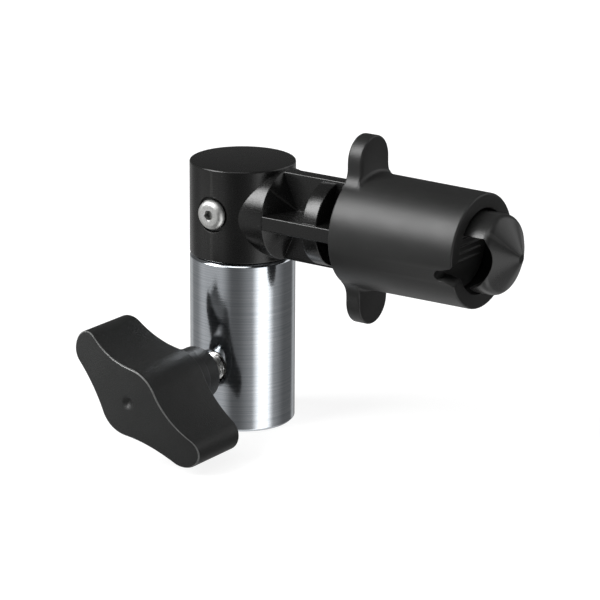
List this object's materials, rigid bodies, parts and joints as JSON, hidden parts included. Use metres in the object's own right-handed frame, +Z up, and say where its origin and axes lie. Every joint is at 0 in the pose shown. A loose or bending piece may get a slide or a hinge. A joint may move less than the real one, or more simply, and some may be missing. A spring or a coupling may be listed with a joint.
{
  "type": "reflector clip bracket",
  "caption": "Swivelling bracket for a light stand: a chromed sleeve with a wing-knob screw, a black head and arm, and a spring-loaded eared collar that closes on a hook.",
  "frame": {"origin": "centre of the sleeve's socket mouth, in the plane of the sleeve's lower face", "axes": "+Z up the post, away from the socket's mouth; +X along the arm towards the hook; the clamp knob is on the -Y side"},
  "size_m": [0.1052, 0.0651, 0.0836],
  "materials": {
    "turned_chrome": "turned and chrome plated, with fine turning rings",
    "bright_steel": "bright zinc plated steel",
    "spring_steel": "drawn wire",
    "brass": "machined",
    "gloss_black_moulding": "gloss black moulding",
    "satin_black_moulding": "fine-grained satin black moulding",
    "textured_black_moulding": "spark-textured matte black moulding",
    "white_nylon": "natural nylon",
    "nitrile_rubber": "matte"
  },
  "bodies": {
    "stand_body": {"stand_sleeve": "turned_chrome", "pivot_spigot": "bright_steel", "friction_ring": "nitrile_rubber", "thrust_washer": "white_nylon"},
    "clamp_shoe": {"clamp_pad": "brass"},
    "knob": {"clamp_stud": "bright_steel", "knob_grip": "textured_black_moulding"},
    "head": {"swivel_head": "gloss_black_moulding", "retaining_screw": "bright_steel", "screw_insert": "brass", "core_rod": "bright_steel", "spring_seat_rear": "bright_steel", "clip_spring": "spring_steel", "hook_tip": "gloss_black_moulding", "tip_pin": "spring_steel"},
    "collar": {"pull_collar": "satin_black_moulding", "spring_seat_front": "bright_steel"}
  },
  "joints": [
    {"name": "head_swivel", "type": "hinge", "parent": "stand_body", "child": "head", "pos_m": [0, 0, 0.0586], "axis": [0, 0, 1], "continuous": true},
    {"name": "collar_slide", "type": "slide", "parent": "head", "child": "collar", "axis": [1, 0, 0], "range_m": [-0.008, 0], "stiffness_N_per_m": 1200, "springref_m": 0.008, "deforming": ["clip_spring"]},
    {"name": "screw_feed", "type": "slide", "parent": "stand_body", "child": "clamp_shoe", "axis": [0, 1, 0], "range_m": [-0.0025, 0.005]},
    {"name": "knob_turn", "type": "hinge", "parent": "clamp_shoe", "child": "knob", "pos_m": [0, -0.0399, 0.0175], "axis": [0, 1, 0], "range_deg": [-730, 1450]}
  ],
  "couplings": [
    {"joint": "knob_turn", "follows": "screw_feed", "rad_per_m": 5026.5}
  ]
}
